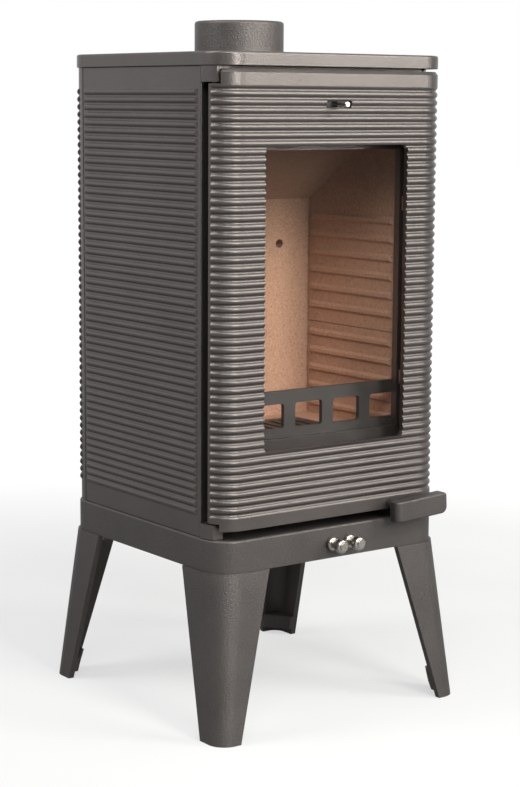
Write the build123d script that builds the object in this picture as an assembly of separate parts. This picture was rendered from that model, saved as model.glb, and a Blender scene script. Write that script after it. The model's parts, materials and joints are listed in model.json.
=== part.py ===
from build123d import *
import math
import os

# Free-standing cast-iron wood stove. Millimetres, +Z up, door facing -Y.
# The origin is on the floor, under the middle of the body.

# Body
WIDTH = 364.0             # across the two side panels
DEPTH = 355.0             # door face to back panel face
CORNER_R = 38.0           # plan radius of the body's corners
LEG_H = 211.5             # floor to the underside of the plinth
PLINTH_H = 41.5
BODY_H = 580.0            # plinth to top plate
TOP_H = 17.0
PANEL_T = 7.0             # side and back panels
WALL_T = 8.0              # plinth and top plate walls
DECK_T = 8.0              # plinth deck and top plate deck
EDGE_R = 3.0              # rounding of the plinth's and top plate's edges
SMALL_R = 1.5             # rounding of thin castings
SEAM = 0.5                # assembly gap between castings

# Ribs on door, sides and back
RIB_PITCH = 10.0
SIDE_RIB_PITCH = 9.95
RIB_DEPTH = 2.4
CREST_SHARE = 0.66        # of the pitch, the rest is groove
DOOR_FOOT_BAND = 20.0     # plain band below the door's ribs
DOOR_HEAD_BAND = 24.5     # plain band above them
PANEL_BAND = 25.5         # plain band above and below the panels' ribs
RIB_WRAP = 68.0           # degrees of each corner that the ribs reach
PANEL_BORDER = 7.5        # plain upright border at the front of the side panels
PANEL_REAR = 4.0          # and at their rear

# Legs
LEG_T = 8.0
LEG_TOP_W = 79.0          # flange width under the plinth
LEG_FOOT_X = 33.0         # front flange width at the floor
LEG_FOOT_Y = 43.0         # side flange width at the floor
LEG_FOOT_R = 24.0         # corner radius at the floor
LEG_PROUD = 2.0           # leg stands proud of the plinth
LEG_SPLAY_X = 15.0
LEG_SPLAY_Y = 25.0
LEG_PAD_T = 8.0
LEG_WEB_Z = 9.0           # shelf that ties the two flanges
LEG_WEB_T = 20.0
LEG_WEB_PROUD = 5.0       # shelf inside the flanges' ends
LEG_BOLT_R = 4.0
LEG_BOLT_NEAR = 23.0      # bolt places from the plinth's two faces
LEG_BOLT_FAR = 48.0
LEG_BOLT_GRIP = 20.0      # thread length in the boss
BOSS_WALL = 4.5

# Flue collar
COLLAR_OD = 118.0
COLLAR_T = 6.0
COLLAR_H = 44.5           # above the top plate
COLLAR_SETBACK = 37.0     # behind the middle of the body
COLLAR_FLANGE = 14.0
COLLAR_FLANGE_T = 7.0
COLLAR_FLARE = 4.0        # raised foot cast on the plate
COLLAR_STEP = 1.5         # shoulder that the flue pipe stands on
COLLAR_RIM_R = 4.0
COLLAR_BOLTS = 4
COLLAR_BOLT_R = 3.0
COLLAR_BOLT_TURN = 45.0   # degrees from the side to the first bolt

# Fasteners
HEAD_RATIO = 1.7          # head radius to shank radius
HEAD_RISE = 1.3           # head height to shank radius
TIE_R = 4.0
TIE_INSET = 27.0          # tie rods from the back and side faces

# Door
DOOR_T = 8.0
DOOR_DEPTH = 29.0         # door face to the rear of its rim
DOOR_GAP_TOP = 3.5
DOOR_GAP_FOOT = 12.0
DOOR_RIM_T = 7.0
DOOR_BEVEL_D = 3.0        # bevel along the door's top, depth and height
DOOR_BEVEL_H = 4.4
DOOR_FOOT_RIM = 24.0      # depth of the lower rim
WINDOW_W = 226.0
WINDOW_H = 378.0
WINDOW_RISE = 94.0        # door foot to window foot
WINDOW_R = 7.0
GLASS_T = 4.0
GLASS_LAP = 12.0
GASKET_T = 2.5
CLIP_T = 2.0
CLIP_W = 18.0
CLIP_REACH = 8.0
CLIP_BOSS_R = 6.0
CLIP_SCREW_R = 2.5
CLIP_SHARE = 0.2          # clip height to window height, from each end
ROPE_D = 10.0
ROPE_SEAT = 4.5           # depth of the rope's groove
ROPE_INSET = 20.0         # rope line to the door's side face
ROPE_FOOT = 31.0          # rope line above the door foot
ROPE_HEAD = 22.5          # rope line below the door top
ROPE_WALL = 3.0
FACE_GAP = 0.4            # rope to front frame

# Hinge
HINGE_X = 12.0            # pin line from the side face
HINGE_Y = 26.0            # pin line from the door face
PIN_R = 3.5
PIN_BOSS_R = 7.5
PIN_BOSS_H = 25.0
PIN_LUG_DEPTH = 14.0
LUG_H = 19.0
LUG_FRONT = 9.5           # upper lug ahead of the pin line
LUG_W = 27.0
FOOT_LUG_FRONT = 6.5      # lower lug ahead of the pin line
FOOT_LUG_W = 20.0
LUG_GAP = 4.0             # door corner to lug
LUG_SEAM = 3.0            # side panel to lug
RUN_FIT = 0.05            # radial running clearance

# Front frame
FRAME_Y = 46.0            # door face to frame face
FRAME_T = 10.0
PANEL_LEAD = 2.5          # side panels stand ahead of the frame face
FIRE_W = 300.0            # between the side bricks
FIRE_SILL = 1.0           # firebox datum above the window foot
MOUTH_W = 278.0
MOUTH_SILL = 5.3          # frame's mouth above the window foot
MOUTH_HEAD = 6.5          # frame's mouth below the window head

# Firebox
BRICK_T = 24.0
FIRE_DEPTH = 254.0        # door face to back brick face
BRICK_JOINT = 126.0       # side brick joint above the firebox datum
BAFFLE_RISE = 297.0       # baffle foot above the firebox datum
BAFFLE_RUN = 150.0
BAFFLE_ANGLE = 34.3
RIDGE_PITCH = 25.0
RIDGE_W = 11.0
RIDGE_H = 4.0
RIDGE_INSET = 6.5         # ridges' ends from the side bricks' ends
BRICK_GAP = 1.0           # open joints between bricks
HOLE_R = 6.0              # air holes in the back brick
HOLE_PITCH = 99.0
HOLE_RISE = 235.0         # air holes above the firebox datum
FLOOR_DROP = 6.0          # firebox floor below the firebox datum
FLOOR_T = 8.0
GRATE_W = 190.0
GRATE_D = 110.0
GRATE_T = 8.0
GRATE_LAP = 6.0
GRATE_SLOT = 7.0
GRATE_BAR = 9.0
GRATE_FIT = 1.0

# Log guard
GUARD_L = 312.0
GUARD_H = 60.5
GUARD_T = 6.0
GUARD_RISE = 4.0          # guard foot above the firebox datum
GUARD_HOLES = 5
GUARD_PITCH = 62.0
GUARD_HOLE_W = 44.0
GUARD_HOLE_H = 32.0
GUARD_HOLE_DROP = 2.5     # holes below the guard's middle
GUARD_HOLE_R = 4.0
GUARD_FOOT_W = 20.0

# Ash box, pan and rear duct
SHEET_T = 2.0
ASH_W = 230.0
ASH_D = 175.0
ASH_H = 38.0
ASH_FIT = 2.0
ASH_LIP = 14.0
DUCT_W = 240.0
DUCT_D = 30.0
DUCT_FOOT = 20.0          # duct foot above the plinth deck

# Air rods
ROD_R = 3.0
ROD_TRAVEL = 30.0
ROD_SPACING = 28.0
ROD_MID_X = 9.0
ROD_DROP = 22.4           # rod line below the plinth's top
BUSH_T = 3.0
KNOB_R = 9.0
KNOB_NECK_R = 5.0
KNOB_L = 27.0
KNOB_BEAD_L = 7.0         # bead against the plinth
KNOB_NECK_L = 8.0
KNOB_EDGE_R = 3.0
KNOB_CAP_R = 5.0          # raised middle of the knob's face
KNOB_CAP_H = 1.2
PORT_SHIFT = 6.0          # port middle outside its rod
PORT_W = 24.0
PORT_L = 36.0
LEAF_MARGIN = 6.0
LEAF_FIT = 0.4
TAB_WALL = 5.0            # leaf tab around the rod
RAIL_W = 6.0
RAIL_LIP = 3.0

# Airwash slide
SLOT_W = 40.0
SLOT_H = 10.0
SLOT_R = 2.0
LEVER_R = 3.75
LEVER_OUT = 20.0
LEVER_X = -3.0
SLIDE_W = 84.0
SLIDE_H = 14.0
SLIDE_FIT = 0.4
GUIDE_W = 3.5
GUIDE_LIP = 2.0

# Handle and latch
PIVOT_X = 92.0
PIVOT_RISE = 7.5          # handle pivot above the door foot
SPINDLE_R = 4.0
HANDLE_L = 85.0
HANDLE_H = 27.5
HANDLE_T = 16.0
HANDLE_LEAD = 12.0        # handle end to pivot
HANDLE_TOP = 6.2          # handle top above the pivot
HANDLE_OUT = 31.0         # door face to handle face
HANDLE_TILT = 3.3         # degrees that the closed handle rises towards its tip
HANDLE_END_R = 9.0
HANDLE_TIP_R = 4.0
HANDLE_BOSS_R = 6.5
HANDLE_EDGE_R = 2.5
HANDLE_FIT = 0.6
SPINDLE_BLIND = 6.0
SPINDLE_BOSS = 16.0
CAM_T = 4.0
CAM_L = 20.0
CAM_W = 7.0
WASHER_T = 1.0
NUT_T = 4.0
KEEPER_W = 10.0
KEEPER_T = 4.0
KEEPER_FIT = 0.5

# Places worked out from the sizes above
SIDE = WIDTH / 2
FRONT = -DEPTH / 2
BACK = DEPTH / 2
PLINTH_Z = LEG_H
BODY_Z = PLINTH_Z + PLINTH_H
TOP_Z = BODY_Z + BODY_H
DECK_Z = BODY_Z - DECK_T
LID_Z = TOP_Z + TOP_H - DECK_T
COLLAR_R = COLLAR_OD / 2
BORE_R = COLLAR_R - COLLAR_T
SHOULDER_R = COLLAR_R + COLLAR_STEP
DOOR_Z = BODY_Z + DOOR_GAP_FOOT
DOOR_TOP = TOP_Z - DOOR_GAP_TOP
WINDOW_Z = DOOR_Z + WINDOW_RISE
WINDOW_TOP = WINDOW_Z + WINDOW_H
PIN_X = -SIDE + HINGE_X
PIN_Y = FRONT + HINGE_Y
FACE_Y = FRONT + FRAME_Y
FRAME_BACK = FACE_Y + FRAME_T
INNER_X = SIDE - PANEL_T - SEAM
SILL_Z = WINDOW_Z + FIRE_SILL
MOUTH_Z = WINDOW_Z + MOUTH_SILL
MOUTH_TOP = WINDOW_TOP - MOUTH_HEAD
GUARD_Y = FRAME_BACK + SEAM
BRICK_Y = GUARD_Y + GUARD_T + SEAM
FIRE_BACK = FRONT + FIRE_DEPTH
FLOOR_TOP = SILL_Z - FLOOR_DROP
FLOOR_Z = FLOOR_TOP - FLOOR_T
JOINT_Z = SILL_Z + BRICK_JOINT
BAFFLE_Z = SILL_Z + BAFFLE_RISE
BAFFLE_CLIMB = BAFFLE_RUN * math.tan(math.radians(BAFFLE_ANGLE))
BAFFLE_TALL = BRICK_T / math.cos(math.radians(BAFFLE_ANGLE))
ROPE_X = SIDE - ROPE_INSET
ROPE_Z = DOOR_Z + ROPE_FOOT
ROPE_TOP = DOOR_TOP - ROPE_HEAD
ROPE_Y = FACE_Y - FACE_GAP - ROPE_D / 2
SEAT_Y = ROPE_Y - ROPE_D / 2
ASH_TOP = FLOOR_Z - SHEET_T
ASH_Z = ASH_TOP - ASH_H
ROD_Z = BODY_Z - ROD_DROP
PORT_Y = FRAME_BACK + LEAF_MARGIN
SLOT_Z = ROPE_TOP - ROPE_D / 2 - ROPE_WALL - SEAM - GUIDE_W - SLIDE_FIT - SLIDE_H / 2
PIVOT_Z = DOOR_Z + PIVOT_RISE
PLATE_Y = FRONT + DOOR_T
GLASS_Y = PLATE_Y + GASKET_T
CLIP_Y = GLASS_Y + GLASS_T
BOSS_Y = FRONT + DOOR_DEPTH
WASHER_Y = BOSS_Y + LEAF_FIT
CAM_Y = WASHER_Y + WASHER_T
NUT_Y = CAM_Y + CAM_T


def block(x0, x1, y0, y1, z0, z1):
    return Pos((x0 + x1) / 2, (y0 + y1) / 2, (z0 + z1) / 2) * Box(x1 - x0, y1 - y0, z1 - z0)


def upright(radius, x, y, z0, z1):
    return Pos(x, y, (z0 + z1) / 2) * Cylinder(radius, z1 - z0)


def lengthwise(radius, x, z, y0, y1):
    return Pos(x, (y0 + y1) / 2, z) * Rot(90, 0, 0) * Cylinder(radius, y1 - y0)


def slab(z0, z1, inset=0.0):
    """The body's rounded plan between two heights."""
    plan = RectangleRounded(WIDTH - 2 * inset, DEPTH - 2 * inset, CORNER_R - inset)
    return extrude(Pos(0, 0, z0) * plan, amount=z1 - z0)


def pane(width, z0, z1, y0, y1, radius):
    """A rounded upright rectangle from y0 back to y1, centred on the door."""
    face = Plane.XZ * Pos(0, (z0 + z1) / 2) * RectangleRounded(width, z1 - z0, radius)
    return Pos(0, y0, 0) * extrude(face, amount=y0 - y1)


def turned(points):
    """A solid turned about Z from a closed outline of radius and height."""
    return revolve(Plane.XZ * make_face(Polyline(*points, close=True)), Axis.Z)


def section_head(z1, bevel, level):
    """Outer end of a wall's section: square, or bevelled by a depth and a height."""
    deep, tall = bevel
    return [(level, z1 - tall), (deep, z1)] if deep > level else [(level, z1)]


def plain_section(z0, z1, thickness, bevel=(0, 0)):
    """A wall's upright section between the ribs' ends, level with the grooves."""
    head = section_head(z1, bevel, RIB_DEPTH)
    return make_face(Polyline((RIB_DEPTH, z0), *head, (thickness, z1), (thickness, z0), close=True))


def ribbed_section(z0, z1, thickness, pitch, bands, level, bevel=(0, 0)):
    """A wall's upright section with rounded ribs, whose bands lie level with the crests or the grooves."""
    room = z1 - z0 - sum(bands)
    count = int((room + SEAM) / pitch) + 1
    low = z0 + bands[0] + (room - (count - 1) * pitch) / 2
    high = low + (count - 1) * pitch
    half, groove = pitch / 2, pitch / 2 * (1 - CREST_SHARE)
    rise = RIB_DEPTH * CREST_SHARE
    if level:
        first, last, reach, inner = low, high, -groove, range(1, count - 1)
    else:
        first, last, reach, inner = low - half, high + half, groove, range(count)
    edges = [TangentArc((level, first), (rise, low - reach), tangent=(0, 1))]
    edges += [ThreePointArc((rise, low + i * pitch - groove), (RIB_DEPTH, low + i * pitch),
                            (rise, low + i * pitch + groove)) for i in inner]
    edges += [ThreePointArc((rise, low + i * pitch + groove), (0, low + i * pitch + half),
                            (rise, low + (i + 1) * pitch - groove)) for i in range(count - 1)]
    edges.append(TangentArc((level, last), (rise, high + reach), tangent=(0, -1)))
    rest = [(level, last), *section_head(z1, bevel, level), (thickness, z1), (thickness, z0), (level, z0)]
    edges.append(Polyline(*rest, (level, first)))
    return make_face(edges)


def wrapped(ribbed, plain, reach):
    """A wall across the front that turns both corners and ends at the given depth."""
    flat = SIDE - CORNER_R
    start = Plane(origin=(-flat, FRONT, 0), x_dir=(0, 1, 0), z_dir=(1, 0, 0))
    end = Plane(origin=(flat, FRONT, 0), x_dir=(0, 1, 0), z_dir=(1, 0, 0))
    side = Plane(origin=(SIDE, FRONT + CORNER_R, 0), x_dir=(-1, 0, 0), z_dir=(0, 1, 0))
    axis = Axis((flat, FRONT + CORNER_R, 0), (0, 0, 1))
    bend = revolve(end * ribbed, axis, RIB_WRAP)
    bend += revolve((end * plain).rotate(axis, RIB_WRAP), axis, 90 - RIB_WRAP)
    if reach > CORNER_R:
        bend += extrude(side * plain, amount=reach - CORNER_R)
    wall = extrude(start * ribbed, amount=2 * flat) + bend + mirror(bend, Plane.YZ)
    keep = block(-WIDTH, WIDTH, FRONT - DEPTH, FRONT + reach, 0, 2 * TOP_Z)
    return wall & keep


def leg_outline(length_x, length_y, radius):
    """Plan of a leg's two flanges, with the outer corner at the origin."""
    inner = radius - LEG_T
    bow = radius * (1 - math.sqrt(0.5))
    inner_bow = LEG_T + inner * (1 - math.sqrt(0.5))
    return make_face([
        Line((0, length_y), (0, radius)),
        ThreePointArc((0, radius), (bow, bow), (radius, 0)),
        Line((radius, 0), (length_x, 0)),
        Line((length_x, 0), (length_x, LEG_T)),
        Line((length_x, LEG_T), (radius, LEG_T)),
        ThreePointArc((radius, LEG_T), (inner_bow, inner_bow), (LEG_T, radius)),
        Line((LEG_T, radius), (LEG_T, length_y)),
        Line((LEG_T, length_y), (0, length_y)),
    ])


def leg_fill(length_x, length_y, radius, ends=LEG_T):
    """Plan of the corner that the two flanges enclose, as deep as given at the flanges' ends."""
    bow = radius * (1 - math.sqrt(0.5))
    return make_face([
        Line((0, length_y), (0, radius)),
        ThreePointArc((0, radius), (bow, bow), (radius, 0)),
        Line((radius, 0), (length_x, 0)),
        Line((length_x, 0), (length_x, ends)),
        Line((length_x, ends), (ends, length_y)),
        Line((ends, length_y), (0, length_y)),
    ])


def leg_loft(outline, *ends):
    foot = outline(LEG_FOOT_X, LEG_FOOT_Y, LEG_FOOT_R, *ends)
    head = outline(LEG_TOP_W, LEG_TOP_W, CORNER_R, *ends)
    foot = Pos(-SIDE - LEG_SPLAY_X, FRONT - LEG_SPLAY_Y, 0) * foot
    head = Pos(-SIDE - LEG_PROUD, FRONT - LEG_PROUD, PLINTH_Z) * head
    return loft([foot, head], ruled=True)


def leg_bolt_places():
    near, far = LEG_BOLT_NEAR, LEG_BOLT_FAR
    pairs = ((near, far), (far, near))
    return [(sx * (SIDE - a), sy * (BACK - b)) for sx in (-1, 1) for sy in (-1, 1) for a, b in pairs]


def front_left_leg():
    pad = block(-WIDTH, 0, -DEPTH, 0, PLINTH_Z - LEG_PAD_T, PLINTH_Z)
    web = block(-WIDTH, 0, -DEPTH, 0, LEG_WEB_Z, LEG_WEB_Z + LEG_WEB_T)
    shelf = leg_loft(leg_fill, LEG_T + LEG_WEB_PROUD) & web
    leg = leg_loft(leg_outline) + (leg_loft(leg_fill) & pad) + shelf
    for x, y in leg_bolt_places():
        if x < 0 and y < 0:
            leg -= upright(LEG_BOLT_R + RUN_FIT, x, y, PLINTH_Z - 2 * LEG_PAD_T, PLINTH_Z)
    return leg


def headed_bolt(radius, x, y, z0, z1):
    """An upright bolt from its seat at z0 up to z1, with the head below the seat."""
    head = upright(HEAD_RATIO * radius, x, y, z0 - HEAD_RISE * radius, z0)
    return head + upright(radius, x, y, z0, z1)


def leg_bolts():
    under = PLINTH_Z - LEG_PAD_T
    return [headed_bolt(LEG_BOLT_R, x, y, under, PLINTH_Z + LEG_BOLT_GRIP) for x, y in leg_bolt_places()]


def port_x(side):
    """Middle of the air port beside each rod: the ports stand further apart than the rods."""
    return ROD_MID_X + side * (ROD_SPACING / 2 + PORT_SHIFT)


def plinth():
    """Frame of the base: its walls are rebated at the top, where the deck lies."""
    shell = slab(PLINTH_Z, BODY_Z)
    shell = fillet(shell.edges().group_by(Axis.Z)[-1], EDGE_R)
    shell -= slab(PLINTH_Z, DECK_Z, WALL_T)
    shell -= slab(DECK_Z, BODY_Z, WALL_T / 2)
    for side in (-1, 1):
        shell -= lengthwise(ROD_R + BUSH_T, rod_x(side), ROD_Z, FRONT - WALL_T, FRONT + 2 * WALL_T)
    return shell


def plinth_deck():
    deck = slab(DECK_Z, BODY_Z, WALL_T / 2 + SEAM)
    for side in (-1, 1):
        x = port_x(side)
        deck -= block(x - PORT_W / 2, x + PORT_W / 2, PORT_Y, PORT_Y + PORT_L, DECK_Z, BODY_Z)
    for x, y in tie_places():
        deck -= upright(TIE_R + SEAM, x, y, DECK_Z, BODY_Z)
    return deck


def leg_bosses():
    """Round bosses between the legs' pads and the deck, which take the legs' bolts."""
    bosses = []
    for x, y in leg_bolt_places():
        boss = upright(LEG_BOLT_R + BOSS_WALL, x, y, PLINTH_Z, DECK_Z)
        bosses.append(boss - upright(LEG_BOLT_R + RUN_FIT, x, y, PLINTH_Z, PLINTH_Z + LEG_BOLT_GRIP + SEAM))
    return bosses


def tie_places():
    return [(sx * (SIDE - TIE_INSET), BACK - TIE_INSET) for sx in (-1, 1)]


def tie_rods():
    return [headed_bolt(TIE_R, x, y, DECK_Z, LID_Z + DECK_T / 2) for x, y in tie_places()]


def collar_bolt_places():
    ring = COLLAR_R + COLLAR_FLANGE / 2
    turns = [math.radians(COLLAR_BOLT_TURN + 360 * i / COLLAR_BOLTS) for i in range(COLLAR_BOLTS)]
    return [(ring * math.cos(t), COLLAR_SETBACK + ring * math.sin(t)) for t in turns]


def top_plate():
    plate = slab(TOP_Z, TOP_Z + TOP_H)
    rims = plate.edges().group_by(Axis.Z)
    plate = fillet(rims[-1], EDGE_R)
    plate = chamfer(plate.edges().group_by(Axis.Z)[0], SMALL_R / 2)
    plate -= slab(TOP_Z, LID_Z, WALL_T)
    hole = SHOULDER_R + RUN_FIT
    face = TOP_Z + TOP_H
    dip = COLLAR_FLARE * (1 - math.sqrt(0.5))
    flare = make_face([
        Line((hole, face - EDGE_R), (hole, face + COLLAR_FLARE)),
        ThreePointArc((hole, face + COLLAR_FLARE), (hole + dip, face + dip), (hole + COLLAR_FLARE, face)),
        Line((hole + COLLAR_FLARE, face), (hole + COLLAR_FLARE, face - EDGE_R)),
        Line((hole + COLLAR_FLARE, face - EDGE_R), (hole, face - EDGE_R)),
    ])
    plate -= upright(hole, 0, COLLAR_SETBACK, TOP_Z, face + EDGE_R)
    plate += Pos(0, COLLAR_SETBACK, 0) * revolve(Plane.XZ * flare, Axis.Z)
    for x, y in collar_bolt_places():
        plate -= upright(COLLAR_BOLT_R + RUN_FIT, x, y, LID_Z, LID_Z + DECK_T / 2)
    for x, y in tie_places():
        plate -= upright(TIE_R + RUN_FIT, x, y, LID_Z, LID_Z + DECK_T / 2 + SEAM)
    return plate


def flue_collar():
    crown = TOP_Z + TOP_H + COLLAR_H
    foot = LID_Z - COLLAR_FLANGE_T
    wide = COLLAR_R + COLLAR_FLANGE
    step = TOP_Z + TOP_H + COLLAR_FLARE
    ring = turned([(BORE_R, foot), (wide, foot), (wide, LID_Z), (SHOULDER_R, LID_Z), (SHOULDER_R, step),
                   (COLLAR_R, step), (COLLAR_R, crown), (BORE_R, crown)])
    ring = fillet(ring.edges().group_by(Axis.Z)[-1].sort_by(SortBy.RADIUS)[-1], COLLAR_RIM_R)
    ring = Pos(0, COLLAR_SETBACK, 0) * ring
    for x, y in collar_bolt_places():
        ring -= upright(COLLAR_BOLT_R + RUN_FIT, x, y, foot, LID_Z)
    return ring


def collar_bolts():
    foot = LID_Z - COLLAR_FLANGE_T
    tip = LID_Z + DECK_T / 2 - SEAM
    return [headed_bolt(COLLAR_BOLT_R, x, y, foot, tip) for x, y in collar_bolt_places()]


def left_side_panel():
    near = FACE_Y - PANEL_LEAD
    far = BACK - CORNER_R - SEAM
    ribbed = ribbed_section(BODY_Z, TOP_Z, PANEL_T, SIDE_RIB_PITCH, (PANEL_BAND, PANEL_BAND), RIB_DEPTH)
    field = Plane(origin=(-SIDE, far - PANEL_REAR, 0), x_dir=(1, 0, 0), z_dir=(0, -1, 0))
    panel = extrude(field * ribbed, amount=far - near - PANEL_BORDER - PANEL_REAR)
    for y0, y1, edge in ((near, near + PANEL_BORDER, 0), (far - PANEL_REAR, far, -1)):
        border = block(-SIDE + RIB_DEPTH, -SIDE + PANEL_T, y0, y1, BODY_Z, TOP_Z)
        outer = border.edges().filter_by(Axis.Z).group_by(Axis.X)[0].sort_by(Axis.Y)[edge]
        panel += fillet(outer, SMALL_R)
    level, proud = -SIDE + RIB_DEPTH, -SIDE - SEAM
    for y, slope in ((near + PANEL_BORDER - SEAM, RIB_DEPTH), (far - PANEL_REAR + SEAM, -RIB_DEPTH)):
        wedge = make_face(Polyline((proud, y), (level, y), (proud, y + 2 * slope), close=True))
        panel -= extrude(Pos(0, 0, BODY_Z) * wedge, amount=BODY_H)
    rails = panel.edges().filter_by(Axis.Y).group_by(Axis.Z)
    panel = chamfer(rails[0].group_by(Axis.X)[0] + rails[-1].group_by(Axis.X)[0], SMALL_R / 2)
    inside = -SIDE + PANEL_T
    ledge = block(inside - SEAM, inside + FLOOR_T, FRAME_BACK + SEAM, FIRE_BACK, FLOOR_Z - FLOOR_T, FLOOR_Z)
    return panel + ledge


def back_panel():
    ribbed = ribbed_section(BODY_Z, TOP_Z, PANEL_T, SIDE_RIB_PITCH, (PANEL_BAND, PANEL_BAND), RIB_DEPTH)
    return mirror(wrapped(ribbed, plain_section(BODY_Z, TOP_Z, PANEL_T), CORNER_R), Plane.XZ)


def lug(z0, z1, ahead, width):
    """Hinge lug: its outer faces follow the body's rounded corner."""
    panel = FACE_Y - PANEL_LEAD - LUG_SEAM
    head = slab(z0, z1, SEAM) & block(-SIDE, -SIDE + width, PIN_Y - ahead, panel, z0, z1)
    return head + block(-INNER_X, -SIDE + width, panel, FACE_Y + SEAM, z0, z1)


def front_frame():
    frame = block(-INNER_X, INNER_X, FACE_Y, FRAME_BACK, BODY_Z, TOP_Z)
    frame += lug(BODY_Z + SEAM, BODY_Z + LUG_H, FOOT_LUG_FRONT, FOOT_LUG_W)
    frame += lug(TOP_Z - LUG_H - SEAM, TOP_Z - SEAM, LUG_FRONT, LUG_W)
    frame -= block(-MOUTH_W / 2, MOUTH_W / 2, FACE_Y, FRAME_BACK, MOUTH_Z, MOUTH_TOP)
    frame -= block(-ASH_W / 2, ASH_W / 2, FACE_Y, FRAME_BACK, ASH_Z, ASH_TOP)
    low, high = hinge_pin_spans()
    for z0, z1 in (low, high):
        frame -= upright(PIN_R, PIN_X, PIN_Y, z0, z1)
    return frame


def hinge_pin_spans():
    """Heights of the lower and upper pin: each runs from its lug into the door's boss."""
    low = BODY_Z + LUG_H - PIN_LUG_DEPTH
    high = TOP_Z - LUG_H - SEAM + PIN_LUG_DEPTH
    return (low, notch_foot() + PIN_BOSS_H - PIN_R), (notch_head() - PIN_BOSS_H + PIN_R, high)


def notch_foot():
    return BODY_Z + LUG_H + LUG_GAP / 2


def notch_head():
    return TOP_Z - LUG_H - SEAM - LUG_GAP / 2


def hinge_pins():
    return [upright(PIN_R, PIN_X, PIN_Y, z0, z1) for z0, z1 in hinge_pin_spans()]


def rope_path():
    corner = ROPE_D
    line = RectangleRounded(2 * ROPE_X, ROPE_TOP - ROPE_Z, corner)
    face = Plane.XZ * Pos(0, (ROPE_Z + ROPE_TOP) / 2) * line
    return (Pos(0, ROPE_Y, 0) * face).face().outer_wire()


def door_rope():
    path = rope_path()
    section = Plane(origin=path @ 0, z_dir=path % 0) * Circle(ROPE_D / 2)
    return sweep(section, path)


def rope_ring(width, y0, y1):
    """A rectangular ring along the rope's line."""
    half = width / 2
    outer = pane(2 * ROPE_X + width, ROPE_Z - half, ROPE_TOP + half, y0, y1, ROPE_D + half)
    inner = pane(2 * ROPE_X - width, ROPE_Z + half, ROPE_TOP - half, y0, y1, ROPE_D - half)
    return outer - inner


def clip_places():
    x = WINDOW_W / 2 + GLASS_LAP + CLIP_BOSS_R + 2 * SEAM
    shares = (CLIP_SHARE, 1 - CLIP_SHARE)
    return [(sx * x, WINDOW_Z + WINDOW_H * share) for sx in (-1, 1) for share in shares]


def door():
    bevel = (DOOR_BEVEL_D, DOOR_BEVEL_H)
    bands = (DOOR_FOOT_BAND, DOOR_HEAD_BAND)
    ribbed = ribbed_section(DOOR_Z, DOOR_TOP, DOOR_T, RIB_PITCH, bands, 0, bevel)
    shell = wrapped(ribbed, plain_section(DOOR_Z, DOOR_TOP, DOOR_T, bevel), DOOR_DEPTH)
    inside = slab(DOOR_Z, DOOR_TOP, DOOR_T / 2)
    added = [rope_ring(ROPE_D + 2 * ROPE_WALL, PLATE_Y - SEAM, SEAT_Y + ROPE_SEAT) & inside]
    for z, depth in ((DOOR_Z, DOOR_FOOT_RIM), (DOOR_TOP - DOOR_RIM_T, DOOR_DEPTH)):
        added.append(inside & block(-SIDE, SIDE, FRONT, FRONT + depth, z, z + DOOR_RIM_T))
    added.append(upright(PIN_BOSS_R, PIN_X, PIN_Y, notch_foot(), notch_foot() + PIN_BOSS_H))
    added.append(upright(PIN_BOSS_R, PIN_X, PIN_Y, notch_head() - PIN_BOSS_H, notch_head()))
    left, right = PIVOT_X - SPINDLE_BOSS / 2, PIVOT_X + SPINDLE_BOSS / 2
    added.append(block(left, right, PLATE_Y - SEAM, BOSS_Y, DOOR_Z, DOOR_Z + DOOR_FOOT_BAND))
    for x, z in clip_places():
        added.append(lengthwise(CLIP_BOSS_R, x, z, PLATE_Y - SEAM, CLIP_Y))
    front = PIN_Y - LUG_FRONT - LUG_GAP
    cuts = [rope_ring(ROPE_D + 2 * SEAM, SEAT_Y, SEAT_Y + ROPE_SEAT)]
    for z0, z1 in ((DOOR_Z - LUG_H, notch_foot()), (notch_head(), DOOR_TOP + LUG_H)):
        cuts.append(block(-SIDE - LUG_W, -SIDE + LUG_W + LUG_GAP, front, FACE_Y, z0, z1))
    for z0, z1 in hinge_pin_spans():
        cuts.append(upright(PIN_R + RUN_FIT, PIN_X, PIN_Y, z0 - SEAM, z1 + SEAM))
    cuts.append(pane(WINDOW_W, WINDOW_Z, WINDOW_TOP, FRONT - SEAM, PLATE_Y + SEAM, WINDOW_R))
    cuts.append(pane(SLOT_W, SLOT_Z - SLOT_H / 2, SLOT_Z + SLOT_H / 2, FRONT - SEAM, PLATE_Y + SEAM, SLOT_R))
    cuts.append(lengthwise(SPINDLE_R + RUN_FIT, PIVOT_X, PIVOT_Z, FRONT - SEAM, BOSS_Y + SEAM))
    for x, z in clip_places():
        cuts.append(lengthwise(CLIP_SCREW_R + RUN_FIT, x, z, PLATE_Y, CLIP_Y))
    return shell + added - cuts


def door_glass():
    lap = GLASS_LAP
    return pane(WINDOW_W + 2 * lap, WINDOW_Z - lap, WINDOW_TOP + lap, GLASS_Y, CLIP_Y, WINDOW_R)


def glass_gasket():
    lap = GLASS_LAP
    outer = pane(WINDOW_W + 2 * lap, WINDOW_Z - lap, WINDOW_TOP + lap, PLATE_Y, GLASS_Y, WINDOW_R)
    return outer - pane(WINDOW_W + lap, WINDOW_Z - lap / 2, WINDOW_TOP + lap / 2, PLATE_Y, GLASS_Y, WINDOW_R)


def glass_clips():
    clips = []
    for x, z in clip_places():
        inner = math.copysign(abs(x) - CLIP_BOSS_R - CLIP_REACH, x)
        outer = math.copysign(abs(x) + CLIP_BOSS_R, x)
        x0, x1 = sorted((inner, outer))
        clip = block(x0, x1, CLIP_Y, CLIP_Y + CLIP_T, z - CLIP_W / 2, z + CLIP_W / 2)
        clips.append(clip - lengthwise(CLIP_SCREW_R + RUN_FIT, x, z, CLIP_Y, CLIP_Y + CLIP_T))
    return clips


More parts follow.
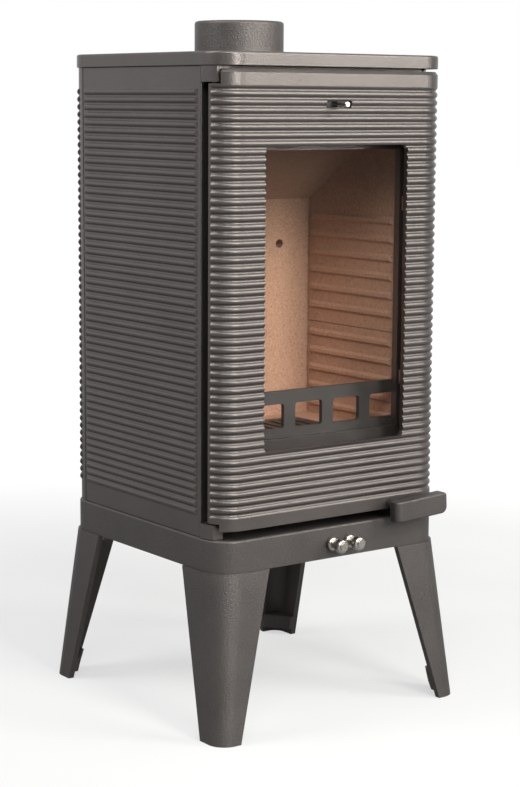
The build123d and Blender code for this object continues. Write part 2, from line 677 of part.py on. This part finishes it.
def clip_screws():
    screws = []
    seat = CLIP_Y + CLIP_T
    for x, z in clip_places():
        shank = lengthwise(CLIP_SCREW_R, x, z, PLATE_Y + SEAM, seat)
        screws.append(shank + lengthwise(HEAD_RATIO * CLIP_SCREW_R, x, z, seat, seat + CLIP_SCREW_R))
    return screws


def airwash_slider():
    back = PLATE_Y + SLIDE_FIT
    leaf = Pos(LEVER_X, back + SHEET_T / 2, SLOT_Z) * Box(SLIDE_W, SHEET_T, SLIDE_H)
    return leaf - lengthwise(LEVER_R, LEVER_X, SLOT_Z, back, back + SHEET_T)


def airwash_lever():
    rear = PLATE_Y + SLIDE_FIT + SHEET_T
    pin = lengthwise(LEVER_R, LEVER_X, SLOT_Z, FRONT - LEVER_OUT, rear)
    return chamfer(pin.edges().group_by(Axis.Y)[0], LEVER_R / 4)


def airwash_guides():
    x0, x1 = LEVER_X - (SLIDE_W + SLOT_W) / 2, LEVER_X + (SLIDE_W + SLOT_W) / 2
    edge = SLIDE_H / 2 + SLIDE_FIT
    lip_y = PLATE_Y + SHEET_T + 2 * SLIDE_FIT
    guides = []
    for side in (-1, 1):
        z0, z1 = sorted((SLOT_Z + side * edge, SLOT_Z + side * (edge + GUIDE_W)))
        web = block(x0, x1, PLATE_Y, lip_y + SHEET_T, z0, z1)
        z0, z1 = sorted((SLOT_Z + side * (edge - GUIDE_LIP), SLOT_Z + side * edge))
        guides.append(web + block(x0, x1, lip_y, lip_y + SHEET_T, z0, z1))
    return guides


def door_handle():
    x0 = PIVOT_X - HANDLE_LEAD
    z1 = PIVOT_Z + HANDLE_TOP
    rear = FRONT - HANDLE_OUT + HANDLE_T
    bar = block(x0, x0 + HANDLE_L, FRONT - HANDLE_OUT, rear, z1 - HANDLE_H, z1)
    bar = fillet(bar.edges().filter_by(Axis.Z).group_by(Axis.Y)[0].sort_by(Axis.X)[0], HANDLE_END_R)
    bar = fillet(bar.edges().filter_by(Axis.Y).group_by(Axis.X)[-1].sort_by(Axis.Z)[0], HANDLE_END_R)
    bar = fillet(bar.edges().filter_by(Axis.Y).group_by(Axis.X)[-1].sort_by(Axis.Z)[-1], HANDLE_TIP_R)
    bar = fillet(bar.edges().group_by(Axis.Y)[0], HANDLE_EDGE_R)
    bar = bar.rotate(Axis((PIVOT_X, FRONT, PIVOT_Z), (0, -1, 0)), HANDLE_TILT)
    bar += lengthwise(HANDLE_BOSS_R, PIVOT_X, PIVOT_Z, rear - SEAM, FRONT - HANDLE_FIT)
    return bar - lengthwise(SPINDLE_R, PIVOT_X, PIVOT_Z, FRONT - HANDLE_OUT + SPINDLE_BLIND, FRONT)


def handle_spindle():
    return lengthwise(SPINDLE_R, PIVOT_X, PIVOT_Z, FRONT - HANDLE_OUT + SPINDLE_BLIND, NUT_Y + NUT_T)


def spindle_ring(radius, y0, y1):
    return lengthwise(radius, PIVOT_X, PIVOT_Z, y0, y1) - lengthwise(SPINDLE_R, PIVOT_X, PIVOT_Z, y0, y1)


def latch_cam():
    finger = block(PIVOT_X, PIVOT_X + CAM_L, CAM_Y, NUT_Y, PIVOT_Z - CAM_W / 2, PIVOT_Z + CAM_W / 2)
    hub = lengthwise(2 * SPINDLE_R, PIVOT_X, PIVOT_Z, CAM_Y, NUT_Y)
    return finger + hub - lengthwise(SPINDLE_R, PIVOT_X, PIVOT_Z, CAM_Y, NUT_Y)


def latch_keeper():
    """Hook on the frame: the pressed-down cam drops behind its lip."""
    x1 = PIVOT_X + CAM_L
    lip_top = PIVOT_Z - CAM_W / 2 - KEEPER_FIT
    foot = BODY_Z + KEEPER_T
    lip_y = CAM_Y - KEEPER_FIT
    hook = block(x1 - KEEPER_W, x1, lip_y - KEEPER_T, FACE_Y, foot, foot + KEEPER_T)
    return hook + block(x1 - KEEPER_W, x1, lip_y - KEEPER_T, lip_y, foot, lip_top)


def rod_x(side):
    return ROD_MID_X + side * ROD_SPACING / 2


def air_rod(side):
    end = PORT_Y + PORT_L + LEAF_MARGIN + 2 * SHEET_T
    return lengthwise(ROD_R, rod_x(side), ROD_Z, FRONT - KNOB_L + KNOB_R, end)


def air_knob(side):
    """A spool: a bead against the plinth, a narrow neck and a round-edged head with a raised middle."""
    bead = KNOB_BEAD_L
    neck = KNOB_BEAD_L + KNOB_NECK_L
    face = KNOB_L - KNOB_CAP_H
    body = turned([(0, SEAM), (KNOB_R, SEAM), (KNOB_R, bead), (KNOB_NECK_R, bead), (KNOB_NECK_R, neck),
                   (KNOB_R, neck), (KNOB_R, face), (0, face)])
    rims = body.edges().filter_by(GeomType.CIRCLE).group_by(SortBy.RADIUS)[-1]
    body = fillet(rims, KNOB_EDGE_R)
    body += upright(KNOB_CAP_R, 0, 0, face - SEAM, KNOB_L)
    body -= upright(ROD_R, 0, 0, 0, KNOB_L - KNOB_R)
    return Pos(rod_x(side), FRONT, ROD_Z) * Rot(90, 0, 0) * body


def air_valve(side):
    """A bent leaf under the deck's port, with a tab that the rod holds."""
    x = port_x(side)
    half = PORT_W / 2 + LEAF_MARGIN
    top = DECK_Z - LEAF_FIT
    y0, y1 = PORT_Y - LEAF_MARGIN, PORT_Y + PORT_L + LEAF_MARGIN
    leaf = block(x - half, x + half, y0, y1, top - SHEET_T, top)
    reach = ROD_R + TAB_WALL
    tab = block(rod_x(side) - reach, rod_x(side) + reach, y1 - SHEET_T, y1, ROD_Z - reach, top)
    return leaf + tab - lengthwise(ROD_R, rod_x(side), ROD_Z, y0, y1)


def valve_rails():
    """Lipped rails under the deck that carry the two leaves."""
    half = PORT_W / 2 + LEAF_MARGIN + LEAF_FIT
    y0 = PORT_Y - LEAF_MARGIN - ROD_TRAVEL
    y1 = PORT_Y + PORT_L
    lip_top = DECK_Z - SHEET_T - 2 * LEAF_FIT
    rails = []
    inner = port_x(1) - port_x(-1) - 2 * half
    spans = [(port_x(-1) - half - RAIL_W, port_x(-1) - half), (port_x(1) + half, port_x(1) + half + RAIL_W)]
    spans.append((port_x(-1) + half, port_x(-1) + half + inner))
    for x0, x1 in spans:
        web = block(x0, x1, y0, y1, lip_top - SHEET_T, DECK_Z)
        left = RAIL_LIP if x0 > port_x(-1) else 0
        right = RAIL_LIP if x1 < port_x(1) else 0
        rails.append(web + block(x0 - left, x1 + right, y0, y1, lip_top - SHEET_T, lip_top))
    return rails


def rod_bushes():
    bushes = []
    for side in (-1, 1):
        x = rod_x(side)
        tube = lengthwise(ROD_R + BUSH_T, x, ROD_Z, FRONT, FRONT + WALL_T)
        tube += lengthwise(ROD_R + 2 * BUSH_T, x, ROD_Z, FRONT + WALL_T, FRONT + WALL_T + BUSH_T)
        bushes.append(tube - lengthwise(ROD_R + RUN_FIT, x, ROD_Z, FRONT, FRONT + WALL_T + BUSH_T))
    return bushes


def firebox_floor():
    y0, y1 = FRAME_BACK + SEAM, FIRE_BACK + BRICK_T
    middle = (FRAME_BACK + FIRE_BACK) / 2
    plate = block(-INNER_X + SEAM, INNER_X - SEAM, y0, y1, FLOOR_Z, FLOOR_TOP)
    plate -= Pos(0, middle, FLOOR_TOP) * Box(GRATE_W, GRATE_D, FLOOR_T)
    through = Box(GRATE_W - 2 * GRATE_LAP, GRATE_D - 2 * GRATE_LAP, 4 * FLOOR_T)
    return plate - Pos(0, middle, FLOOR_TOP) * through


def grate():
    middle = (FRAME_BACK + FIRE_BACK) / 2
    half_w, half_d = GRATE_W / 2 - GRATE_FIT, GRATE_D / 2 - GRATE_FIT
    foot = FLOOR_TOP - FLOOR_T / 2
    plate = block(-half_w, half_w, middle - half_d, middle + half_d, foot, foot + GRATE_T)
    pitch = GRATE_SLOT + GRATE_BAR
    count = int((2 * half_w - 2 * GRATE_LAP - GRATE_BAR) / pitch)
    for i in range(count):
        x = (i - (count - 1) / 2) * pitch
        plate -= block(x - GRATE_SLOT / 2, x + GRATE_SLOT / 2, middle - half_d + GRATE_LAP + GRATE_BAR,
                       middle + half_d - GRATE_LAP - GRATE_BAR, foot, foot + GRATE_T)
    return plate


def ridges(z0, z1):
    """Raised level ridges on the left side brick, evenly spaced between two heights."""
    count = int((z1 - z0) / RIDGE_PITCH)
    spare = (z1 - z0 - (count - 1) * RIDGE_PITCH) / 2
    x, y0, y1 = -FIRE_W / 2, BRICK_Y + RIDGE_INSET, FIRE_BACK - BRICK_GAP - RIDGE_INSET
    bars = []
    for i in range(count):
        z = z0 + spare + i * RIDGE_PITCH
        bar = block(x - SEAM, x + RIDGE_H, y0, y1, z - RIDGE_W / 2, z + RIDGE_W / 2)
        bars.append(chamfer(bar.edges().group_by(Axis.X)[-1], RIDGE_H - SEAM))
    return bars


def left_lower_brick():
    y0, y1 = BRICK_Y, FIRE_BACK - BRICK_GAP
    brick = block(-INNER_X + SEAM, -FIRE_W / 2, y0, y1, FLOOR_TOP, JOINT_Z - BRICK_GAP)
    for bar in ridges(FLOOR_TOP, JOINT_Z):
        brick += bar
    return brick


def left_upper_brick():
    """Its sloping head carries the baffle."""
    front, back = BRICK_Y, FIRE_BACK - BRICK_GAP
    crest = BAFFLE_Z + BAFFLE_CLIMB
    shape = make_face(Polyline((front, JOINT_Z), (back, JOINT_Z), (back, BAFFLE_Z),
                               (back - BAFFLE_RUN, crest), (front, crest), close=True))
    thick = INNER_X - SEAM - FIRE_W / 2
    brick = Pos(-FIRE_W / 2, 0, 0) * extrude(Plane.YZ * shape, amount=-thick)
    for bar in ridges(JOINT_Z, BAFFLE_Z):
        brick += bar
    return brick


def back_brick():
    crest = BAFFLE_Z + BAFFLE_TALL
    brick = block(-INNER_X + SEAM, INNER_X - SEAM, FIRE_BACK, FIRE_BACK + BRICK_T, FLOOR_TOP, crest)
    for i in (-1, 0, 1):
        brick -= lengthwise(HOLE_R, i * HOLE_PITCH, SILL_Z + HOLE_RISE, FIRE_BACK, FIRE_BACK + BRICK_T)
    return brick


def baffle():
    back = FIRE_BACK - BRICK_GAP
    crest = BAFFLE_Z + BAFFLE_CLIMB
    front = back - BAFFLE_RUN
    shape = make_face(Polyline((back, BAFFLE_Z), (back, BAFFLE_Z + BAFFLE_TALL),
                               (front, crest + BAFFLE_TALL), (front, crest), close=True))
    half = INNER_X - 2 * SEAM
    return Pos(-half, 0, 0) * extrude(Plane.YZ * shape, amount=2 * half)


def log_guard():
    """Pierced plate that stands between the frame and the side bricks."""
    y0 = GUARD_Y
    foot = SILL_Z + GUARD_RISE
    plate = pane(GUARD_L, foot, foot + GUARD_H, y0, y0 + GUARD_T, GUARD_HOLE_R)
    low = foot + (GUARD_H - GUARD_HOLE_H) / 2 - GUARD_HOLE_DROP
    hole = pane(GUARD_HOLE_W, low, low + GUARD_HOLE_H, y0, y0 + GUARD_T, GUARD_HOLE_R)
    for i in range(GUARD_HOLES):
        plate -= Pos((i - (GUARD_HOLES - 1) / 2) * GUARD_PITCH, 0, 0) * hole
    for side in (-1, 1):
        x = side * (GUARD_L / 2 - GUARD_FOOT_W)
        half = GUARD_FOOT_W / 2
        plate += block(x - half, x + half, y0, y0 + GUARD_T, FLOOR_TOP, foot + GUARD_HOLE_R)
    return plate


def ash_box():
    """Sheet tray under the firebox floor, with its air inlet standing on the plinth deck."""
    y0, y1 = FRAME_BACK, FRAME_BACK + ASH_D + ASH_FIT + SHEET_T
    half = ASH_W / 2 + SHEET_T
    floor_z = ASH_Z - SHEET_T
    box = block(-half, half, y0, y1, floor_z, FLOOR_Z)
    box -= block(-ASH_W / 2, ASH_W / 2, y0, y1 - SHEET_T, ASH_Z, FLOOR_Z)
    x = port_x(-1)
    inlet = (x - PORT_W / 2, x + PORT_W / 2, PORT_Y, PORT_Y + PORT_L)
    grown = (inlet[0] - SHEET_T, inlet[1] + SHEET_T, inlet[2] - SHEET_T, inlet[3] + SHEET_T)
    box += block(*grown, BODY_Z, floor_z)
    return box - block(*inlet, BODY_Z, ASH_Z)


def ash_pan():
    half = ASH_W / 2 - ASH_FIT
    y0, y1 = FACE_Y + SEAM, FRAME_BACK + ASH_D
    top = ASH_TOP - ASH_FIT
    pan = block(-half, half, y0, y1, ASH_Z, top)
    pan -= block(-half + SHEET_T, half - SHEET_T, y0 + SHEET_T, y1 - SHEET_T, ASH_Z + SHEET_T, top)
    grip = GUARD_FOOT_W
    return pan + block(-grip, grip, y0 - ASH_LIP, y0, top - SHEET_T, top)


def rear_duct():
    """Folded back of the flat upright duct that feeds the back brick's air holes."""
    y0 = FIRE_BACK + BRICK_T + SHEET_T
    y1 = y0 - SHEET_T + DUCT_D
    foot, head = BODY_Z + DUCT_FOOT, BAFFLE_Z
    half = DUCT_W / 2
    tube = block(-half, half, y0, y1, foot, head)
    return tube - block(-half + SHEET_T, half - SHEET_T, y0, y1 - SHEET_T, foot, head - SHEET_T)


def duct_front():
    """Sheet that closes the duct against the back brick."""
    y0 = FIRE_BACK + BRICK_T
    sheet = block(-DUCT_W / 2, DUCT_W / 2, y0, y0 + SHEET_T, BODY_Z + DUCT_FOOT, BAFFLE_Z)
    for i in (-1, 0, 1):
        sheet -= lengthwise(HOLE_R, i * HOLE_PITCH, SILL_Z + HOLE_RISE, y0, y0 + SHEET_T)
    return sheet


def save(name, shape):
    solids = shape if isinstance(shape, list) else [shape]
    solids = [solid for item in solids for solid in item.solids()]
    export_step(solids[0] if len(solids) == 1 else Compound(solids), f"parts/{name}.step")


os.makedirs("parts", exist_ok=True)

first_leg = front_left_leg()
left_panel = left_side_panel()
lower_brick = left_lower_brick()
upper_brick = left_upper_brick()

PIECES = {
    "plinth": plinth(),
    "plinth_deck": plinth_deck(),
    "leg_bosses": leg_bosses(),
    "front_left_leg": first_leg,
    "front_right_leg": mirror(first_leg, Plane.YZ),
    "rear_left_leg": mirror(first_leg, Plane.XZ),
    "rear_right_leg": mirror(mirror(first_leg, Plane.XZ), Plane.YZ),
    "leg_bolts": leg_bolts(),
    "left_side_panel": left_panel,
    "right_side_panel": mirror(left_panel, Plane.YZ),
    "back_panel": back_panel(),
    "front_frame": front_frame(),
    "hinge_pins": hinge_pins(),
    "latch_keeper": latch_keeper(),
    "top_plate": top_plate(),
    "flue_collar": flue_collar(),
    "collar_bolts": collar_bolts(),
    "tie_rods": tie_rods(),
    "firebox_floor": firebox_floor(),
    "grate": grate(),
    "left_lower_brick": lower_brick,
    "right_lower_brick": mirror(lower_brick, Plane.YZ),
    "left_upper_brick": upper_brick,
    "right_upper_brick": mirror(upper_brick, Plane.YZ),
    "back_brick": back_brick(),
    "baffle": baffle(),
    "log_guard": log_guard(),
    "ash_box": ash_box(),
    "ash_pan": ash_pan(),
    "rear_duct": rear_duct(),
    "duct_front": duct_front(),
    "valve_rails": valve_rails(),
    "rod_bushes": rod_bushes(),
    "door": door(),
    "door_glass": door_glass(),
    "glass_gasket": glass_gasket(),
    "glass_clips": glass_clips(),
    "clip_screws": clip_screws(),
    "door_rope": door_rope(),
    "airwash_guides": airwash_guides(),
    "airwash_slider": airwash_slider(),
    "airwash_lever": airwash_lever(),
    "door_handle": door_handle(),
    "handle_spindle": handle_spindle(),
    "spindle_washer": spindle_ring(2 * SPINDLE_R, WASHER_Y, CAM_Y),
    "latch_cam": latch_cam(),
    "spindle_nut": spindle_ring(HEAD_RATIO * SPINDLE_R, NUT_Y, NUT_Y + NUT_T),
    "primary_rod": air_rod(-1),
    "primary_knob": air_knob(-1),
    "primary_valve": air_valve(-1),
    "secondary_rod": air_rod(1),
    "secondary_knob": air_knob(1),
    "secondary_valve": air_valve(1),
}
for piece_name, piece in PIECES.items():
    save(piece_name, piece)
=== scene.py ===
import bpy
import json
import math
from mathutils import Matrix, Vector

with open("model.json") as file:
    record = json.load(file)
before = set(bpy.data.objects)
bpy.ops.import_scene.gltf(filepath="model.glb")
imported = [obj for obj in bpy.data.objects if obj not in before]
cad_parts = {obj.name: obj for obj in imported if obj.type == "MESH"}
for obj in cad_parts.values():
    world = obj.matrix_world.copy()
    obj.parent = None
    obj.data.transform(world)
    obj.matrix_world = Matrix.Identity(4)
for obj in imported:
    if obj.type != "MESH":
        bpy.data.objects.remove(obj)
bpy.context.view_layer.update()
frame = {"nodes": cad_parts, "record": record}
scene = bpy.context.scene
scene.view_settings.view_transform = "Standard"

# Camera, fitted to the photograph
CAMERA_AT = (-1.5027, -2.0498, 0.7915)
CAMERA_YAW = 36.44          # degrees from +Y towards +X
CAMERA_PITCH = 8.71         # degrees below level
CAMERA_ROLL = 0.37
CAMERA_LENS = 87.45
SENSOR_WIDTH = 36.0         # millimetres, as the lens

# Lamps, each with its place, size, power and colour: a tall soft box at the front right, a tall one ahead,
# one overhead, one above the left side and a broad fill by the camera
WARM = (1.0, 0.985, 0.93)
WHITE = (1.0, 1.0, 1.0)
LAMPS = {
    "key_light": ((1.30, -1.80, 1.48), (0.8, 1.6), 55.0, WARM),
    "strip_light": ((-0.1, -2.5, 1.60), (0.75, 1.8), 96.0, WARM),
    "top_light": ((0.2, -0.5, 2.6), (2.2, 1.6), 20.0, WHITE),
    "side_light": ((-1.4, 0.4, 2.1), (0.8, 1.6), 36.0, WHITE),
    "fill_light": ((-1.6, -2.2, 2.6), (1.4, 1.4), 62.0, WHITE),
}
AIM = (0.0, 0.0, 0.5)       # the point that every lamp faces

# World, in strengths where 1 is white
BACKDROP = 1.0              # what the camera sees, also through glass
AMBIENT = 0.2               # what it adds to matt surfaces
FRONT_DIM = 0.25            # what gloss sees ahead of the object, against white behind it
FRONT_SPAN = (-0.35, 0.35)  # Y of the directions between the two
CEILING_DIM = 0.4           # what gloss sees straight above
CEILING_SPAN = (0.15, 0.9)  # Z of the directions over which it dims

# Floor
FLOOR_SIZE = 30.0
FLOOR_DROP = 0.0005         # keeps it just under the soles
FLOOR_COLOURS = ((0.16, 0.16, 0.16), (0.18, 0.18, 0.18))
FLOOR_ROUGH = 0.9
FLOOR_GLOW_WITH_PAINTED_SHADE = (0.59, 0.97)   # near the object, dimmed there as painted shade, and far off
FLOOR_FAR = (0.6, 2.2)      # metres over which it rises
MIRROR_GLOW_WITH_PAINTED_SHADE = (0.14, 0.88)  # the same as gloss sees it, dimmed near the object as a painted darker reflection
MIRROR_FAR = (1.0, 4.5)

# Noises, each as its scale, detail and roughness
PAINT_NOISE = (900.0, 3.0, 0.6)
MOTTLE_NOISE = (14.0, 2.0, 0.5)
SAND_NOISE = (520.0, 4.0, 0.65)
BRUSH_NOISE = (120.0, 3.0, 0.6)
FLECK_NOISE = (330.0, 4.0, 0.7)
HAZE_NOISE = (6.0, 2.0, 0.5)
FLOOR_NOISE = (3.0, 2.0, 0.5)
NOISE_SPAN = (0.3, 0.7)     # where most of a noise lies

# Iron
MOTTLE_SHARE = 0.35
PAINT_SPAN = (0.4, 0.95)    # of the mottled grain, from dark to light
PAINT_SHEEN = 0.05          # either side of the mean roughness
SAND_DEPTH = 0.0006
# castings given the sandier iron: rougher, and darker in colour as painted shade
ROUGH_SHADED_CAST = ("flue_collar", "plinth", "door_handle", "front_left_leg", "front_right_leg", "rear_left_leg",
              "rear_right_leg")

# Steel and chrome
BRUSH_STRETCH = (1.0, 1.0, 14.0)
BRUSH_SPAN = (0.3, 0.75)
BRUSH_SHEEN = (-0.03, 0.05)  # about the mean roughness

# Boards of the firebox
TAN = ((0.27, 0.14, 0.088), (0.45, 0.255, 0.162), (0.52, 0.31, 0.205), (0.62, 0.41, 0.29))
TAN_AT = (0.3, 0.42, 0.6, 0.74)
PAINTED_SHADE_Z = (0.56, 0.72)       # heights over which the boards darken, as painted shade towards the top of the firebox
PAINTED_SHADE_SHARE = (0.93, 0.4)          # share of the colour left below and above, by the painted shade
BOARD_ROUGH = (0.75, 0.92)
FLECK_RELIEF = 0.5
FLECK_DEPTH = 0.0012

# Rope and gasket
WEAVE_SCALE = 90.0
WEAVE_DISTORTION = 3.0
WEAVE_COLOURS = ((0.03, 0.03, 0.028), (0.11, 0.105, 0.1))
WEAVE_SPAN = (0.2, 0.8)
WEAVE_ROUGH = 0.9
WEAVE_RELIEF = 0.5
WEAVE_DEPTH = 0.001

# Glass
GLASS_COLOURS = ((0.06, 0.05, 0.045), (0.09, 0.08, 0.07))
GLASS_ROUGH = (0.01, 0.03)
GLASS_SPECULAR = 0.3
GLASS_ALPHA = 0.03


def plug(tree, made, inputs):
    """Give each input its plain value, or link it to the output that feeds it."""
    for key, value in inputs.items():
        if isinstance(value, bpy.types.NodeSocket):
            tree.links.new(value, made.inputs[key])
        else:
            made.inputs[key].default_value = value


def node(tree, kind, inputs, **settings):
    made = tree.nodes.new("ShaderNode" + kind)
    for key, value in settings.items():
        setattr(made, key, value)
    plug(tree, made, inputs)
    return made


def material(name):
    made = bpy.data.materials.new(name)
    made.use_nodes = True
    tree = made.node_tree
    place = node(tree, "TexCoord", {}).outputs["Object"]
    return made, tree, tree.nodes["Principled BSDF"], place


def sums(tree, operation, *values):
    """The outcome of a sum, such as MULTIPLY, on the values."""
    return node(tree, "Math", dict(enumerate(values)), operation=operation).outputs["Value"]


def noise(tree, place, shape):
    scale, detail, rough = shape
    inputs = {"Vector": place, "Scale": scale, "Detail": detail, "Roughness": rough}
    return node(tree, "TexNoise", inputs).outputs["Fac"]


def ramp(tree, value, places, colours):
    made = node(tree, "ValToRGB", {"Fac": value})
    elements = made.color_ramp.elements
    while len(elements) < len(colours):
        elements.new(0.5)
    for element, at, colour in zip(elements, places, colours):
        element.position = at
        element.color = (*colour, 1.0)
    return made.outputs["Color"]


def mapped(tree, value, span, levels, curve="SMOOTHSTEP"):
    """The value, carried from its span to the two levels."""
    inputs = {"Value": value, "From Min": span[0], "From Max": span[1],
              "To Min": levels[0], "To Max": levels[1]}
    return node(tree, "MapRange", inputs, interpolation_type=curve).outputs["Result"]


def spread(tree, value, levels):
    return mapped(tree, value, NOISE_SPAN, levels, "LINEAR")


def bump(tree, height, strength, distance):
    inputs = {"Height": height, "Strength": strength, "Distance": distance}
    return node(tree, "Bump", inputs).outputs["Normal"]


def iron(name, dark, light, rough, metallic, grain):
    """Sand-cast iron under paint: fine grain, mottled colour and sheen."""
    made, tree, shader, place = material(name)
    fine = noise(tree, place, PAINT_NOISE)
    broad = noise(tree, place, MOTTLE_NOISE)
    mottled = sums(tree, "MULTIPLY_ADD", broad, MOTTLE_SHARE, fine)
    plug(tree, shader, {
        "Base Color": ramp(tree, mottled, PAINT_SPAN, (dark, light)),
        "Roughness": spread(tree, broad, (rough - PAINT_SHEEN, rough + PAINT_SHEEN)),
        "Metallic": metallic,
        "Normal": bump(tree, noise(tree, place, SAND_NOISE), grain, SAND_DEPTH),
    })
    return made


def steel(name, dark, light, rough):
    """Bright metal with level brush marks."""
    made, tree, shader, place = material(name)
    drawn_out = node(tree, "Mapping", {"Vector": place, "Scale": BRUSH_STRETCH}).outputs["Vector"]
    brushed = noise(tree, drawn_out, BRUSH_NOISE)
    plug(tree, shader, {
        "Base Color": ramp(tree, brushed, BRUSH_SPAN, (dark, light)),
        "Roughness": spread(tree, brushed, [rough + sheen for sheen in BRUSH_SHEEN]),
        "Metallic": 1.0,
    })
    return made


def firebrick(name):
    """Pressed vermiculite: a board of dark and pale flecks, with painted shade darkening it towards the
    top of the fire.
    """
    made, tree, shader, place = material(name)
    flecks = noise(tree, place, FLECK_NOISE)
    # painted shade: the boards darken with height towards the top of the firebox
    height = node(tree, "SeparateXYZ", {"Vector": place}).outputs["Z"]
    shade = mapped(tree, height, PAINTED_SHADE_Z, PAINTED_SHADE_SHARE)
    shaded_boards = node(tree, "HueSaturation", {"Value": shade, "Color": ramp(tree, flecks, TAN_AT, TAN)})
    plug(tree, shader, {
        "Base Color": shaded_boards.outputs["Color"],
        "Roughness": spread(tree, flecks, BOARD_ROUGH),
        "Normal": bump(tree, flecks, FLECK_RELIEF, FLECK_DEPTH),
    })
    return made


def rope(name):
    """Glass-fibre rope and tape with a woven relief."""
    made, tree, shader, place = material(name)
    inputs = {"Vector": place, "Scale": WEAVE_SCALE, "Distortion": WEAVE_DISTORTION}
    weave = node(tree, "TexWave", inputs).outputs["Fac"]
    plug(tree, shader, {
        "Base Color": ramp(tree, weave, WEAVE_SPAN, WEAVE_COLOURS),
        "Roughness": WEAVE_ROUGH,
        "Normal": bump(tree, weave, WEAVE_RELIEF, WEAVE_DEPTH),
    })
    return made


def glass(name):
    """Clear pane with a faint smoky haze."""
    made, tree, shader, place = material(name)
    haze = noise(tree, place, HAZE_NOISE)
    plug(tree, shader, {
        "Base Color": ramp(tree, haze, NOISE_SPAN, GLASS_COLOURS),
        "Roughness": spread(tree, haze, GLASS_ROUGH),
        "Specular IOR Level": GLASS_SPECULAR,
        "Alpha": GLASS_ALPHA,
    })
    return made


def lamp(name, at, size, power, colour):
    light = bpy.data.lights.new(name, "AREA")
    light.shape = "RECTANGLE"
    light.size, light.size_y = size
    light.energy = power
    light.color = colour
    held = bpy.data.objects.new(name, light)
    scene.collection.objects.link(held)
    held.location = at
    held.rotation_euler = (Vector(at) - Vector(AIM)).to_track_quat("Z", "Y").to_euler()


# Materials, one for each slot, and a sandier iron for the collar, plinth, legs and handle, darker in
# colour as painted shade
LOOKS = {
    "painted_iron": iron("painted_iron", (0.066, 0.058, 0.056), (0.102, 0.091, 0.087),
                         rough=0.34, metallic=0.75, grain=0.4),
    "raw_iron": iron("raw_iron", (0.016, 0.0145, 0.0135), (0.03, 0.027, 0.025),
                     rough=0.5, metallic=0.2, grain=0.2),
    "steel": steel("steel", (0.28, 0.275, 0.27), (0.45, 0.44, 0.43), rough=0.35),
    "chrome": steel("chrome", (0.32, 0.305, 0.28), (0.42, 0.40, 0.37), rough=0.26),
    "firebrick": firebrick("firebrick"),
    "rope": rope("rope"),
    "glass": glass("glass"),
}
# painted shade: darker colours than the painted iron, for the lesser light on these castings
SANDY_SHADED = iron("sandy_shaded_iron", (0.044, 0.039, 0.038), (0.084, 0.076, 0.073),
             rough=0.46, metallic=0.65, grain=1.0)
for part in frame["record"]["subparts"]:
    mesh = frame["nodes"][part["node"]].data
    mesh.materials.clear()
    mesh.materials.append(SANDY_SHADED if part["node"] in ROUGH_SHADED_CAST else LOOKS[part["material_slot"]])

for name, (at, size, power, colour) in LAMPS.items():
    lamp(name, at, size, power, colour)

# Floor: near white to the camera, with the object's shadow on it; its glow is dimmed near the object,
# painted shade to the camera and a painted darker reflection to gloss
bpy.ops.mesh.primitive_plane_add(size=FLOOR_SIZE, location=(0, 0, -FLOOR_DROP))
floor = bpy.context.object
floor.name = "floor"
paper, tree, shader, place = material("paper")
distance = node(tree, "VectorMath", {0: place}, operation="LENGTH").outputs["Value"]
rays = node(tree, "LightPath", {}).outputs
# the floor's glow, dimmed near the object as painted shade to the camera and as a painted darker
# reflection to gloss
glow_and_painted_shade = 0.0
for ray, levels, reach in (("Is Camera Ray", FLOOR_GLOW_WITH_PAINTED_SHADE, FLOOR_FAR),
                           ("Is Transmission Ray", FLOOR_GLOW_WITH_PAINTED_SHADE, FLOOR_FAR),
                           ("Is Glossy Ray", MIRROR_GLOW_WITH_PAINTED_SHADE, MIRROR_FAR)):
    level = mapped(tree, distance, reach, levels)
    glow_and_painted_shade = sums(tree, "MULTIPLY_ADD", rays[ray], level, glow_and_painted_shade)
plug(tree, shader, {
    "Base Color": ramp(tree, noise(tree, place, FLOOR_NOISE), NOISE_SPAN, FLOOR_COLOURS),
    "Roughness": FLOOR_ROUGH,
    "Emission Color": (*WHITE, 1.0),
    "Emission Strength": glow_and_painted_shade,
})
floor.data.materials.append(paper)

# World: white to the camera and, behind the object, to gloss; dimmer to gloss ahead and above; a soft grey
# as its light
world = bpy.data.worlds.new("studio")
scene.world = world
world.use_nodes = True
tree = world.node_tree
tree.nodes.clear()
direction = node(tree, "TexCoord", {}).outputs["Generated"]
axes = node(tree, "SeparateXYZ", {"Vector": direction}).outputs
around = mapped(tree, axes["Y"], FRONT_SPAN, (FRONT_DIM, BACKDROP))
above = mapped(tree, axes["Z"], CEILING_SPAN, (BACKDROP, CEILING_DIM))
mirrored = sums(tree, "MULTIPLY", around, above)
rays = node(tree, "LightPath", {}).outputs
strength = AMBIENT
for ray, level in (("Is Glossy Ray", mirrored),
                   ("Is Transmission Ray", BACKDROP),
                   ("Is Camera Ray", BACKDROP)):
    strength = node(tree, "Mix", {0: rays[ray], 2: strength, 3: level}, data_type="FLOAT").outputs[0]
sky = node(tree, "Background", {"Color": (*WHITE, 1.0), "Strength": strength})
node(tree, "OutputWorld", {"Surface": sky.outputs["Background"]})

lens = bpy.data.cameras.new("camera")
lens.lens = CAMERA_LENS
lens.sensor_width = SENSOR_WIDTH
lens.dof.use_dof = False
camera = bpy.data.objects.new("camera", lens)
scene.collection.objects.link(camera)
turn = (Matrix.Rotation(math.radians(-CAMERA_YAW), 4, "Z")
        @ Matrix.Rotation(math.radians(90 - CAMERA_PITCH), 4, "X")
        @ Matrix.Rotation(math.radians(CAMERA_ROLL), 4, "Z"))
camera.matrix_world = Matrix.Translation(CAMERA_AT) @ turn
scene.camera = camera
